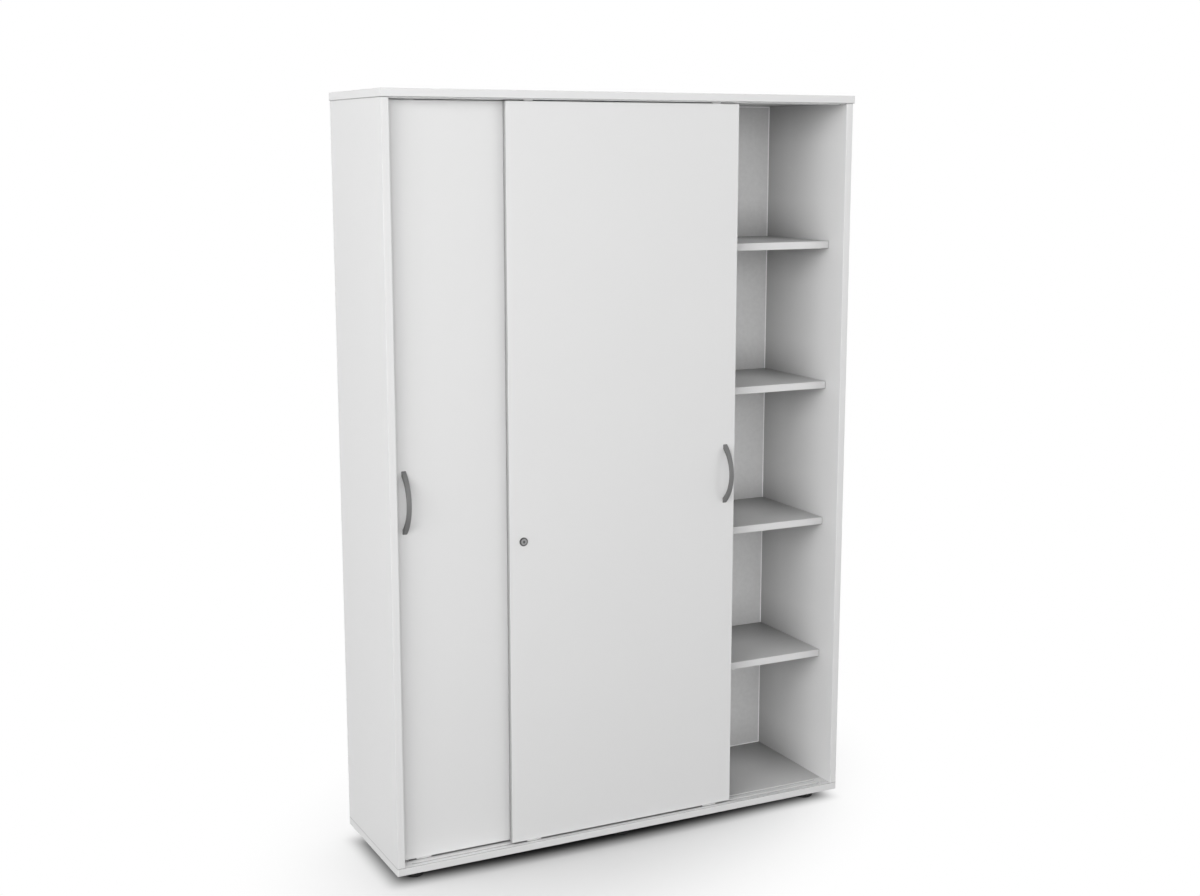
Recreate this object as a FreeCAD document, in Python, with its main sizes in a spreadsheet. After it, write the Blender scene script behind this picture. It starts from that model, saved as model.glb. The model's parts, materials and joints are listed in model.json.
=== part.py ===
import FreeCAD, Part
import Sketcher
import os
import re

# A tall cabinet with two overlapping sliding doors. Millimetres, +Z up, +X to the right of
# someone facing the doors, +Y towards the back. The origin is on the floor, in the middle of
# the overall width and of the overall depth, handles included.

Vector = FreeCAD.Vector
Rotation = FreeCAD.Rotation

# ---------------------------------------------------------------- driving dimensions

SIZES = {
    # carcass
    "carcass_width": 1200,
    "carcass_height": 1762,  # underside of the bottom panel to the top of the top panel
    "carcass_depth": 347,  # front edge to back edge of the side panels
    "board": 18,  # thickness of the carcass boards and shelves
    "edge_round": 1.5,  # rounding of the edging strips
    "top_side_overhang": 2,  # top panel past each side panel
    "top_front_overhang": 4,  # top panel past the front edges of the side panels
    "back_board": 3,
    "back_inset": 1,  # the back panel stops this far inside the carcass outline
    # shelves
    "shelf_levels": 4,
    "shelf_first_clear": 325.5,  # clear height under the lowest shelf
    "shelf_pitch": 350,
    "shelf_setback": 62,  # carcass front edge to shelf front edge
    "shelf_side_clearance": 1,
    "shelf_back_clearance": 1,
    "divider_setback": 50,
    "pin_radius": 2.5,
    "pin_in_panel": 8,
    "pin_under_shelf": 8,
    "pin_inset": 40,  # shelf edge to pin axis
    # dowels
    "dowel_radius": 4,
    "dowel_in_slab": 12,
    "dowel_in_side": 20,
    "dowel_inset": 36,
    "dowels_per_joint": 4,
    "hole_clearance": 0.1,
    "hole_bottom_clearance": 1,
    # back panel screws
    "back_screw_radius": 1.75,
    "back_screw_head_radius": 3.5,
    "back_screw_head_height": 2,
    "back_screw_length": 16,
    "back_screws_per_upright": 7,
    "back_screws_per_bay": 4,
    "back_screw_end_inset": 60,
    # tracks
    "track_setback": 3,
    "track_width": 43,
    "track_depth": 6,
    "groove_width": 8,
    "groove_depth": 4,
    "end_plug_length": 22,
    # doors
    "door_board": 16,
    "door_setback": 9,  # carcass front edge to the front door's face
    "door_pitch": 22,  # front door's face to rear door's face
    "door_overlap": 29,
    "door_side_gap": 0.5,
    "door_top_gap": 4.5,
    "door_bottom_gap": 4.5,
    "front_door_open": 296.75,  # how far the front door stands from its closed place
    # rollers under the doors
    "roller_inset": 58,  # door edge to roller axle
    "roller_radius": 11,
    "roller_width": 5,
    "roller_floor_clearance": 0.3,
    "roller_side_clearance": 0.5,
    "roller_top_clearance": 1.5,
    "roller_rim": 2.4,  # thickness of the tyre outside the dished faces
    "roller_hub_radius": 4.4,
    "roller_dish_depth": 1.25,
    "axle_radius": 2,
    "axle_clearance": 0.05,
    "carrier_length": 36,
    "carrier_thickness": 10,
    "carrier_height": 26,
    "carrier_drop": 3.5,  # how far the carrier hangs below the door
    "carrier_clearance": 0.1,
    # guides above the doors
    "guide_inset": 58,
    "guide_length": 20,
    "guide_thickness": 6,
    "guide_in_door": 14,
    "guide_in_groove": 3,
    # bow handles
    "handle_height": 862,  # underside of the bottom panel to the handle's middle
    "handle_inset": 26.5,  # door edge to the handle's middle
    "handle_length": 144,
    "handle_projection": 34,
    "handle_width": 11,
    "handle_thickness": 5,
    "handle_foot": 13,
    "handle_round": 1.2,
    "handle_screw_spacing": 128,
    "handle_screw_radius": 2,
    "handle_screw_grip": 4.5,
    "handle_screw_head_radius": 4,
    "handle_screw_head_height": 2.2,
    # lock
    "lock_height": 749,
    "lock_inset": 35,
    "lock_head_radius": 10,
    "lock_head_height": 3,
    "lock_head_chamfer": 1,
    "lock_body_radius": 8,
    "lock_nut_radius": 12,
    "lock_nut_flats": 20.4,
    "lock_nut_height": 3,
    "plug_radius": 6,
    "plug_head_radius": 7,
    "plug_head_height": 1,
    "plug_clearance": 0.06,
    "plug_end_gap": 0.3,
    "plug_stub": 6,
    "keyway_width": 1.6,
    "keyway_height": 7.5,
    "keyway_depth": 9,
    "cam_gap": 0.5,  # back of the door to the cam
    "cam_thickness": 2.5,
    "cam_width": 12,
    "cam_reach": 26,
    "cam_screw_radius": 2,
    "cam_screw_length": 10,
    "cam_screw_head_radius": 4.5,
    "cam_screw_head_height": 1.4,
    # keeper on the rear door
    "keeper_edge": 1,
    "keeper_length": 30,
    "keeper_drop": 11,  # lock axis down to the keeper's top edge
    "keeper_height": 13,
    "keeper_plate": 1.5,
    "keeper_lug": 2,
    "keeper_reach": 4.6,
    "keeper_screw_radius": 1.5,
    "keeper_screw_head_radius": 3,
    "keeper_screw_length": 10,
    "keeper_screw_inset": 7,
    # feet
    "foot_height": 28,
    "foot_inset": 60,
    "foot_radius": 23,
    "foot_pad_height": 9,
    "foot_chamfer": 2,
    "foot_stem_radius": 5,
    "foot_stem_in_panel": 12,
    "socket_plate": 60,
    "socket_plate_thickness": 3,
    "socket_boss_radius": 10,
    "socket_boss_height": 9,
    "stem_clearance": 0.2,
}

# Places and lengths that follow from the driving dimensions, as expressions.
PLACES = {
    "half_width": "(carcass_width / 2)",
    "inner_width": "(carcass_width - 2 * board)",
    "half_inner": "(inner_width / 2)",
    "front": "((handle_projection - door_setback - carcass_depth - back_board) / 2)",
    "back": "(front + carcass_depth)",
    "floor_top": "(foot_height + board)",
    "roof": "(foot_height + carcass_height - board)",
    "inner_height": "(carcass_height - 2 * board)",
    "bay_width": "((inner_width - board) / 2)",
    "shelf_depth": "(carcass_depth - shelf_setback - shelf_back_clearance)",
    "divider_depth": "(carcass_depth - divider_setback)",
    "track_front": "(front + track_setback)",
    # doors
    "door_width": "((inner_width - 2 * door_side_gap + door_overlap) / 2)",
    "door_bottom": "(floor_top + door_bottom_gap)",
    "door_height": "(inner_height - door_bottom_gap - door_top_gap)",
    "door_top": "(door_bottom + door_height)",
    "front_face": "(front + door_setback)",
    "rear_face": "(front_face + door_pitch)",
    "front_door_left": "(half_inner - door_side_gap - door_width - front_door_open)",
    "rear_door_left": "(-half_inner + door_side_gap)",
    "front_lane": "(front_face + door_board / 2)",
    "rear_lane": "(rear_face + door_board / 2)",
    # rollers
    "groove_floor": "(floor_top - groove_depth)",
    "axle_height": "(groove_floor + roller_floor_clearance + roller_radius)",
    "carrier_bottom": "(door_bottom - carrier_drop)",
    "carrier_slot_top": "(axle_height + roller_radius + roller_top_clearance)",
    # lock
    "lock_z": "(foot_height + lock_height)",
    "lock_x": "(front_door_left + lock_inset)",
    "lock_front": "(front_face - lock_head_height)",
    "lock_back": "(front_face + door_board)",
    "cam_front": "(lock_back + cam_gap)",
    "cam_back": "(cam_front + cam_thickness)",
    "keeper_right": "(rear_door_left + door_width - keeper_edge)",
    "keeper_bottom": "(lock_z - keeper_drop - keeper_height)",
    # handles
    "handle_z": "(foot_height + handle_height)",
    "bow_radius": "(handle_length * handle_length / (8 * handle_projection)"
    " + handle_projection / 2)",
    "opening_chord": "(handle_length - 2 * handle_foot)",
    "opening_rise": "(handle_projection - handle_thickness)",
    "opening_radius": "(opening_chord * opening_chord / (8 * opening_rise) + opening_rise / 2)",
}

WORD = re.compile(r"[a-z_]+")

doc = FreeCAD.newDocument("sliding_door_cabinet")


def make_sheet():
    """Fill the spreadsheet: one row for each driving dimension, with its name as alias."""
    sheet = doc.addObject("Spreadsheet::Sheet", "Size")
    for row, (alias, value) in enumerate(SIZES.items(), start=1):
        sheet.set(f"A{row}", alias)
        sheet.set(f"B{row}", str(value))
        sheet.setAlias(f"B{row}", alias)
    doc.recompute()
    return sheet


SHEET = make_sheet()


def cell(alias):
    """The present value of one driving dimension."""
    return float(getattr(SHEET, alias))


def count(alias):
    """A driving number that counts pieces."""
    return int(round(cell(alias)))


def sized(text):
    """Replace each place by its own expression, and each size by its cell."""
    wider = WORD.sub(lambda word: PLACES.get(word.group(), word.group()), text)
    if wider != text:
        return sized(wider)
    return WORD.sub(lambda word: "Size." + word.group() if word.group() in SIZES
                    else word.group(), text)


# ---------------------------------------------------------------- shapes bound to the sheet

TURN = {
    "X": Rotation(Vector(0, 1, 0), 90),
    "Y": Rotation(Vector(1, 0, 0), -90),
    "Z": Rotation(),
}


def bind(item, path, text):
    item.setExpression(path, sized(text))


def place(item, corner):
    for letter, text in zip("xyz", corner):
        bind(item, "Placement.Base." + letter, text)
    return item


def block(name, size, corner):
    """A box from its lowest corner."""
    box = doc.addObject("Part::Box", name)
    for path, text in zip(("Length", "Width", "Height"), size):
        bind(box, path, text)
    return place(box, corner)


def rod(name, radius, length, start, axis="Z"):
    """A cylinder that starts at a point and runs along +X, +Y or +Z."""
    cylinder = doc.addObject("Part::Cylinder", name)
    cylinder.Placement = FreeCAD.Placement(Vector(), TURN[axis])
    bind(cylinder, "Radius", radius)
    bind(cylinder, "Height", length)
    return place(cylinder, start)


def cone(name, start_radius, end_radius, length, start, axis="Z"):
    taper = doc.addObject("Part::Cone", name)
    taper.Placement = FreeCAD.Placement(Vector(), TURN[axis])
    bind(taper, "Radius1", start_radius)
    bind(taper, "Radius2", end_radius)
    bind(taper, "Height", length)
    return place(taper, start)


def group(name, items):
    """Several separate solids that share one node."""
    compound = doc.addObject("Part::Compound", name)
    compound.Links = items
    return compound


def fuse(name, items):
    union = doc.addObject("Part::MultiFuse", name)
    union.Shapes = items
    return union


def common(name, items):
    shared = doc.addObject("Part::MultiCommon", name)
    shared.Shapes = items
    return shared


def cut(name, base, tools):
    result = doc.addObject("Part::Cut", name)
    result.Base = base
    result.Tool = tools[0] if len(tools) == 1 else group(name + "_tools", tools)
    return result


def rounded(name, base, radius, wanted):
    """Fillet the edges of a shape for which wanted(edge) is true."""
    doc.recompute()
    fillet = doc.addObject("Part::Fillet", name)
    fillet.Base = base
    numbers = [n for n, edge in enumerate(base.Shape.Edges, start=1) if wanted(edge)]
    fillet.Edges = [(n, radius, radius) for n in numbers]
    return fillet


# The sides a sketch is first drawn with; the sheet sets the real ones.
FIRST_ACROSS, FIRST_ALONG = 20, 10


def board(name, size, corner, on_edge):
    """A rectangular board: a sketch, a pad and a fillet on the edges that are edged."""
    body = doc.addObject("PartDesign::Body", name + "_board")
    sketch = body.newObject("Sketcher::SketchObject", name + "_outline")
    plane = [item for item in body.Origin.OriginFeatures if item.Role == "XY_Plane"][0]
    sketch.AttachmentSupport = [(plane, "")]
    sketch.MapMode = "FlatFace"
    points = [Vector(0, 0, 0), Vector(FIRST_ACROSS, 0, 0),
              Vector(FIRST_ACROSS, FIRST_ALONG, 0), Vector(0, FIRST_ALONG, 0)]
    for start, end in zip(points, points[1:] + points[:1]):
        sketch.addGeometry(Part.LineSegment(start, end), False)
    for line in range(4):
        sketch.addConstraint(Sketcher.Constraint("Coincident", line, 2, (line + 1) % 4, 1))
    for line, way in enumerate(("Horizontal", "Vertical", "Horizontal", "Vertical")):
        sketch.addConstraint(Sketcher.Constraint(way, line))
    sketch.addConstraint(Sketcher.Constraint("Coincident", 0, 1, -1, 1))
    across = sketch.addConstraint(Sketcher.Constraint("DistanceX", 0, 1, 0, 2, FIRST_ACROSS))
    along = sketch.addConstraint(Sketcher.Constraint("DistanceY", 1, 1, 1, 2, FIRST_ALONG))
    sketch.renameConstraint(across, "across")
    sketch.renameConstraint(along, "along")
    bind(sketch, "Constraints.across", size[0])
    bind(sketch, "Constraints.along", size[1])
    pad = body.newObject("PartDesign::Pad", name + "_pad")
    pad.Profile = sketch
    bind(pad, "Length", size[2])
    doc.recompute()
    edges = [f"Edge{n}" for n, edge in enumerate(pad.Shape.Edges, start=1) if on_edge(edge)]
    fillet = body.newObject("PartDesign::Fillet", name + "_edging")
    fillet.Base = (pad, edges)
    bind(fillet, "Radius", "edge_round")
    body.Tip = fillet
    return place(body, corner)


ON_FACE = 0.01  # an edge this close to a face lies on it


def at_front(edge):
    """An edge of the board's front face, in the board's own frame."""
    return abs(edge.CenterOfMass.y) < ON_FACE


def everywhere(edge):
    return True


# ---------------------------------------------------------------- nodes

NODES = {}


def node(name, item):
    """Keep an object as one of the cabinet's named pieces."""
    item.Label = name
    NODES[name] = item
    return item


SIDES = {"left": -1, "right": 1}


# ---------------------------------------------------------------- carcass

def spread(first, last, number):
    """Evenly spaced places from first to last, both included."""
    return [f"({first} + {step} * ({last} - ({first})) / {number - 1})"
            for step in range(number)]


def dowel_places():
    """(joint name, x, y) of every dowel; each is used at the floor and at the roof."""
    places = []
    for side, sign in SIDES.items():
        rows = spread("front + dowel_inset", "back - dowel_inset", count("dowels_per_joint"))
        places += [(side, f"({sign} * (half_width - board / 2))", y) for y in rows]
    rows = spread("front + divider_setback + dowel_inset", "back - dowel_inset",
                  count("dowels_per_joint"))
    places += [("divider", "0", y) for y in rows]
    return places


def dowel_holes(name, joints, at_floor, length, start):
    """Blind holes of one board for the dowels at one end of the given joints."""
    level = "floor" if at_floor else "roof"
    return [rod(f"{name}_{level}_hole_{n}", "dowel_radius + hole_clearance", length,
                (x, y, start))
            for n, (joint, x, y) in enumerate(dowel_places()) if joint in joints]


def make_dowels():
    dowels = []
    for n, (joint, x, y) in enumerate(dowel_places()):
        length = "dowel_in_slab + dowel_in_side"
        dowels.append(rod(f"floor_dowel_{n}", "dowel_radius", length,
                          (x, y, "floor_top - dowel_in_slab")))
        dowels.append(rod(f"roof_dowel_{n}", "dowel_radius", length,
                          (x, y, "roof - dowel_in_side")))
    node("carcass_dowels", group("carcass_dowels", dowels))


def make_slabs():
    """Bottom and top panel, each with the track's rebate and the dowel holes."""
    size = ("carcass_width", "carcass_depth", "board")
    rebate = ("inner_width", "track_width", "track_depth")
    deep = "dowel_in_slab + hole_bottom_clearance"
    every_joint = ("left", "right", "divider")

    bottom = board("bottom_panel", size, ("-half_width", "front", "foot_height"), at_front)
    tools = dowel_holes("bottom_panel", every_joint, True, deep, f"floor_top - ({deep})")
    tools.append(block("bottom_rebate", rebate,
                       ("-half_inner", "track_front", "floor_top - track_depth")))
    for n, (x, y) in enumerate(foot_places()):
        tools.append(rod(f"stem_hole_{n}", "foot_stem_radius + stem_clearance",
                         "foot_stem_in_panel + hole_bottom_clearance", (x, y, "foot_height")))
    tools += back_pilots("bottom_panel")
    node("bottom_panel", cut("bottom_panel", bottom, tools))

    size = ("carcass_width + 2 * top_side_overhang", "carcass_depth + top_front_overhang",
            "board")
    top = board("top_panel", size, ("-half_width - top_side_overhang",
                                    "front - top_front_overhang", "roof"), at_front)
    tools = dowel_holes("top_panel", every_joint, False, deep, "roof")
    tools.append(block("top_rebate", rebate, ("-half_inner", "track_front", "roof")))
    tools += back_pilots("top_panel")
    node("top_panel", cut("top_panel", top, tools))


def make_uprights():
    """Side panels and centre divider, with their dowel holes and shelf pin holes."""
    deep = "dowel_in_side + hole_bottom_clearance"
    for side, sign in SIDES.items():
        name = side + "_side_panel"
        left = "-half_width" if sign < 0 else "half_inner"
        panel = board(name, ("board", "carcass_depth", "inner_height"),
                      (left, "front", "floor_top"), at_front)
        tools = dowel_holes(name, (side,), True, deep, "floor_top")
        tools += dowel_holes(name, (side,), False, deep, f"roof - ({deep})")
        tools += pin_rods(name, side, "outer", True) + back_pilots(name)
        node(name, cut(name, panel, tools))

    name = "centre_divider"
    panel = board(name, ("board", "divider_depth", "inner_height"),
                  ("-board / 2", "front + divider_setback", "floor_top"), at_front)
    tools = dowel_holes(name, ("divider",), True, deep, "floor_top")
    tools += dowel_holes(name, ("divider",), False, deep, f"roof - ({deep})")
    for side in SIDES:
        tools += pin_rods(name, side, "inner", True)
    tools += back_pilots(name)
    node(name, cut(name, panel, tools))


# ---------------------------------------------------------------- shelves

def shelf_underside(level):
    return f"(floor_top + shelf_first_clear + {level} * shelf_pitch)"


def bay_left(side):
    return "-half_inner" if side == "left" else "board / 2"


def bay_right(side):
    return "-board / 2" if side == "left" else "half_inner"


def pin_rods(name, side, wall, hole):
    """Pins of one bay on one wall, or the holes for them.

    The wall is outer, on the side panel, or inner, on the divider. A pin is half in the wall
    and half under the shelf.
    """
    wall_is_left = (side == "left") == (wall == "outer")
    face = bay_left(side) if wall_is_left else bay_right(side)
    inwards = 1 if wall_is_left else -1
    radius = "pin_radius + hole_clearance" if hole else "pin_radius"
    in_panel = "(pin_in_panel + hole_clearance)" if hole else "pin_in_panel"
    out = "0" if hole else "pin_under_shelf"
    start = f"{face} - {in_panel}" if inwards > 0 else f"{face} - {out}"
    rods = []
    for level in range(count("shelf_levels")):
        for end, y in (("front", "front + shelf_setback + pin_inset"),
                       ("back", "back - shelf_back_clearance - pin_inset")):
            kind = "hole" if hole else "pin"
            rods.append(rod(f"{name}_{side}_{wall}_{end}_{kind}_{level}", radius,
                            f"{in_panel} + {out}",
                            (start, y, f"{shelf_underside(level)} - pin_radius"), "X"))
    return rods


def make_shelves():
    size = ("bay_width - 2 * shelf_side_clearance", "shelf_depth", "board")
    for side in SIDES:
        for level in range(count("shelf_levels")):
            name = f"{side}_shelf_{level + 1}"
            corner = (f"{bay_left(side)} + shelf_side_clearance", "front + shelf_setback",
                      shelf_underside(level))
            node(name, board(name, size, corner, at_front))
    pins = []
    for side in SIDES:
        for wall in ("outer", "inner"):
            pins += pin_rods("shelf", side, wall, False)
    node("shelf_pins", group("shelf_pins", pins))


# ---------------------------------------------------------------- back panel

def back_screw_places():
    """(board, x, z) of the screws round the back panel and up the divider."""
    rows = spread("foot_height + back_screw_end_inset",
                  "foot_height + carcass_height - back_screw_end_inset",
                  count("back_screws_per_upright"))
    places = []
    for name, x in (("left_side_panel", "-(half_width - board / 2)"),
                    ("centre_divider", "0"),
                    ("right_side_panel", "half_width - board / 2")):
        places += [(name, x, z) for z in rows]
    columns = spread("board + back_screw_end_inset", "half_inner - back_screw_end_inset",
                     count("back_screws_per_bay"))
    for name, z in (("bottom_panel", "foot_height + board / 2"),
                    ("top_panel", "roof + board / 2")):
        places += [(name, f"{sign} * {x}", z) for sign in SIDES.values() for x in columns]
    return places


def back_pilots(name):
    """Pilot holes of one board for the screws that hold the back panel to it."""
    return [rod(f"{name}_pilot_{n}", "back_screw_radius", "back_screw_length - back_board",
                (x, "back + back_board - back_screw_length", z), "Y")
            for n, (board_name, x, z) in enumerate(back_screw_places())
            if board_name == name]


def countersunk(name, radius, head_radius, head_height, length, tip, axis, clearance="0"):
    """A countersunk screw along +Y from its tip, with the head's flat at the far end."""
    x, y, z = tip
    shank = rod(name + "_shank", f"{radius} + {clearance}", f"{length} - {head_height} / 2",
                tip, axis)
    head = cone(name + "_head", radius, head_radius, head_height,
                (x, f"{y} + {length} - {head_height}", z), axis)
    return fuse(name, [shank, head])


def make_back():
    blank = block("back_panel_blank", ("carcass_width - 2 * back_inset", "back_board",
                                       "carcass_height - 2 * back_inset"),
                  ("-half_width + back_inset", "back", "foot_height + back_inset"))
    screws = []
    holes = []
    for n, (_, x, z) in enumerate(back_screw_places()):
        tip = (x, "back + back_board - back_screw_length", z)
        screws.append(countersunk(f"back_screw_{n}", "back_screw_radius",
                                  "back_screw_head_radius", "back_screw_head_height",
                                  "back_screw_length", tip, "Y"))
        holes.append(rod(f"back_hole_{n}", "back_screw_radius", "back_board",
                         (x, "back", z), "Y"))
        holes.append(cone(f"back_sink_{n}", "back_screw_radius", "back_screw_head_radius",
                          "back_screw_head_height",
                          (x, "back + back_board - back_screw_head_height", z), "Y"))
    node("back_panel", cut("back_panel", blank, holes))
    node("back_panel_screws", group("back_panel_screws", screws))


# ---------------------------------------------------------------- feet

def foot_places():
    rows = ("(front + foot_inset)", "(back - foot_inset)")
    return [(x, y) for x in ("-half_width + foot_inset", "0", "half_width - foot_inset")
            for y in rows]


def make_feet():
    sockets = []
    feet = []
    for n, (x, y) in enumerate(foot_places()):
        plate = block(f"socket_plate_{n}",
                      ("socket_plate", "socket_plate", "socket_plate_thickness"),
                      (f"{x} - socket_plate / 2", f"{y} - socket_plate / 2",
                       "foot_height - socket_plate_thickness"))
        boss = rod(f"socket_boss_{n}", "socket_boss_radius", "socket_boss_height",
                   (x, y, "foot_height - socket_boss_height"))
        hole = rod(f"socket_hole_{n}", "foot_stem_radius + stem_clearance",
                   "socket_boss_height", (x, y, "foot_height - socket_boss_height"))
        sockets.append(cut(f"socket_{n}", fuse(f"socket_body_{n}", [plate, boss]), [hole]))
        sole = cone(f"foot_sole_{n}", "foot_radius - foot_chamfer", "foot_radius",
                    "foot_chamfer", (x, y, "0"))
        pad = rod(f"foot_pad_{n}", "foot_radius", "foot_pad_height - foot_chamfer",
                  (x, y, "foot_chamfer"))
        stem = rod(f"foot_stem_{n}", "foot_stem_radius",
                   "foot_height + foot_stem_in_panel - foot_pad_height / 2",
                   (x, y, "foot_pad_height / 2"))
        feet.append(fuse(f"foot_{n}", [sole, pad, stem]))
    node("foot_sockets", group("foot_sockets", sockets))
    node("levelling_feet", group("levelling_feet", feet))


# ---------------------------------------------------------------- tracks

LANES = {"front": "front_lane", "rear": "rear_lane"}


def make_track(name, bottom, groove_bottom):
    """One profile with a groove under or over each door."""
    profile = block(name + "_profile", ("inner_width", "track_width", "track_depth"),
                    ("-half_inner", "track_front", bottom))
    grooves = [block(f"{name}_{lane}_groove", ("inner_width", "groove_width", "groove_depth"),
                     ("-half_inner", f"{middle} - groove_width / 2", groove_bottom))
               for lane, middle in LANES.items()]
    node(name, cut(name, profile, grooves))


def make_end_plugs():
    plugs = []
    for lane, middle in LANES.items():
        for side, sign in SIDES.items():
            left = "-half_inner" if sign < 0 else "half_inner - end_plug_length"
            plugs.append(block(f"{lane}_{side}_plug",
                               ("end_plug_length", "groove_width", "groove_depth"),
                               (left, f"{middle} - groove_width / 2", "groove_floor")))
    node("track_end_plugs", group("track_end_plugs", plugs))


# ---------------------------------------------------------------- doors

class Door:
    """Names and places of one of the two doors."""

    def __init__(self, name, left, face, lane, handle_x):
        self.name = name
        self.left = left
        self.face = face
        self.lane = lane
        self.handle_x = handle_x

    def ends(self, inset):
        """Places near the left and the right edge of the door."""
        return {"left": f"({self.left} + {inset})",
                "right": f"({self.left} + door_width - {inset})"}


FRONT_DOOR = Door("front", "front_door_left", "front_face", "front_lane",
                  "(front_door_left + door_width - handle_inset)")
REAR_DOOR = Door("rear", "rear_door_left", "rear_face", "rear_lane",
                 "(rear_door_left + handle_inset)")


def make_rollers(door):
    """Roller carriers in the door's lower edge, with axle and wheel; returns the mortises."""
    mortises = []
    for end, x in door.ends("roller_inset").items():
        tag = f"{door.name}_{end}"
        corner = (f"{x} - carrier_length / 2", f"{door.lane} - carrier_thickness / 2",
                  "carrier_bottom")
        body = block(tag + "_carrier_body",
                     ("carrier_length", "carrier_thickness", "carrier_height"), corner)
        slot_length = "2 * (roller_radius + roller_top_clearance)"
        slot_width = "(roller_width + 2 * roller_side_clearance)"
        slot = block(tag + "_wheel_slot",
                     (slot_length, slot_width, "carrier_slot_top - carrier_bottom"),
                     (f"{x} - {slot_length} / 2", f"{door.lane} - {slot_width} / 2",
                      "carrier_bottom"))
        axle_start = (x, f"{door.lane} - carrier_thickness / 2", "axle_height")
        axle_hole = rod(tag + "_axle_hole", "axle_radius", "carrier_thickness", axle_start, "Y")
        name = f"{door.name}_roller_carrier_{end}"
        node(name, cut(name, body, [slot, axle_hole]))

        name = f"{door.name}_roller_axle_{end}"
        node(name, rod(name, "axle_radius", "carrier_thickness", axle_start, "Y"))

        wheel_start = (x, f"{door.lane} - roller_width / 2", "axle_height")
        tyre = rod(tag + "_tyre", "roller_radius", "roller_width", wheel_start, "Y")
        bore = rod(tag + "_bore", "axle_radius + axle_clearance", "roller_width",
                   wheel_start, "Y")
        dishes = []
        for face, start in (("near", "- roller_width / 2"),
                            ("far", "+ roller_width / 2 - roller_dish_depth")):
            dish_start = (x, f"{door.lane} {start}", "axle_height")
            outer = rod(f"{tag}_dish_{face}", "roller_radius - roller_rim",
                        "roller_dish_depth", dish_start, "Y")
            hub = rod(f"{tag}_hub_{face}", "roller_hub_radius", "roller_dish_depth",
                      dish_start, "Y")
            dishes.append(cut(f"{tag}_dish_ring_{face}", outer, [hub]))
        name = f"{door.name}_roller_{end}"
        node(name, cut(name, tyre, [bore] + dishes))

        gap = "carrier_clearance"
        mortises.append(block(
            tag + "_mortise",
            (f"carrier_length + 2 * {gap}", f"carrier_thickness + 2 * {gap}",
             "carrier_height - carrier_drop"),
            (f"{x} - carrier_length / 2 - {gap}",
             f"{door.lane} - carrier_thickness / 2 - {gap}", "door_bottom")))
    return mortises


def make_guides(door):
    """Guide blocks that stand up from the door's top edge; returns their mortises."""
    mortises = []
    for end, x in door.ends("guide_inset").items():
        name = f"{door.name}_top_guide_{end}"
        corner = (f"{x} - guide_length / 2", f"{door.lane} - guide_thickness / 2",
                  "door_top - guide_in_door")
        height = "guide_in_door + door_top_gap + guide_in_groove"
        node(name, block(name, ("guide_length", "guide_thickness", height), corner))
        mortises.append(block(name + "_mortise",
                              ("guide_length", "guide_thickness", "guide_in_door"), corner))
    return mortises


def make_handle(door):
    """A bow handle and its two screws; returns the screw holes of the door."""
    tag = door.name + "_handle"
    left = f"{door.handle_x} - handle_width / 2"
    bow = rod(tag + "_bow", "bow_radius", "handle_width",
              (left, f"{door.face} - handle_projection + bow_radius", "handle_z"), "X")
    ahead = block(tag + "_ahead", ("handle_width", "handle_projection", "handle_length"),
                  (left, f"{door.face} - handle_projection", "handle_z - handle_length / 2"))
    solid = common(tag + "_segment", [bow, ahead])
    opening = rod(tag + "_opening", "opening_radius", "handle_width",
                  (left, f"{door.face} - opening_rise + opening_radius", "handle_z"), "X")

    screws = []
    thread_holes = []
    door_holes = []
    length = "(door_board + handle_screw_grip)"
    for end, sign in (("lower", -1), ("upper", 1)):
        z = f"(handle_z + {sign} * handle_screw_spacing / 2)"
        tip = (door.handle_x, f"{door.face} - handle_screw_grip", z)
        screws.append(countersunk(f"{tag}_{end}_screw", "handle_screw_radius",
                                  "handle_screw_head_radius", "handle_screw_head_height",
                                  length, tip, "Y"))
        thread_holes.append(rod(f"{tag}_{end}_thread", "handle_screw_radius",
                                "handle_screw_grip", tip, "Y"))
        door_holes.append(rod(f"{tag}_{end}_hole", "handle_screw_radius + hole_clearance",
                              "door_board", (door.handle_x, door.face, z), "Y"))
        door_holes.append(cone(
            f"{tag}_{end}_sink", "handle_screw_radius", "handle_screw_head_radius",
            "handle_screw_head_height",
            (door.handle_x, f"{door.face} + door_board - handle_screw_head_height", z), "Y"))
    plain = cut(tag + "_plain", solid, [opening] + thread_holes)

    def long_edge(edge):
        """The curved edges that run along the bow, not those of the screw holes."""
        return getattr(edge.Curve, "Radius", 0) > cell("handle_projection")

    name = door.name + "_door_handle"
    node(name, rounded(name, plain, cell("handle_round"), long_edge))
    node(door.name + "_handle_screws", group(door.name + "_handle_screws", screws))
    return door_holes


def make_door(door, more_cuts):
    name = door.name + "_door_panel"
    blank = board(name, ("door_width", "door_board", "door_height"),
                  (door.left, door.face, "door_bottom"), everywhere)
    tools = make_rollers(door) + make_guides(door) + make_handle(door) + more_cuts
    node(name, cut(name, blank, tools))


# ---------------------------------------------------------------- lock

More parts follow.
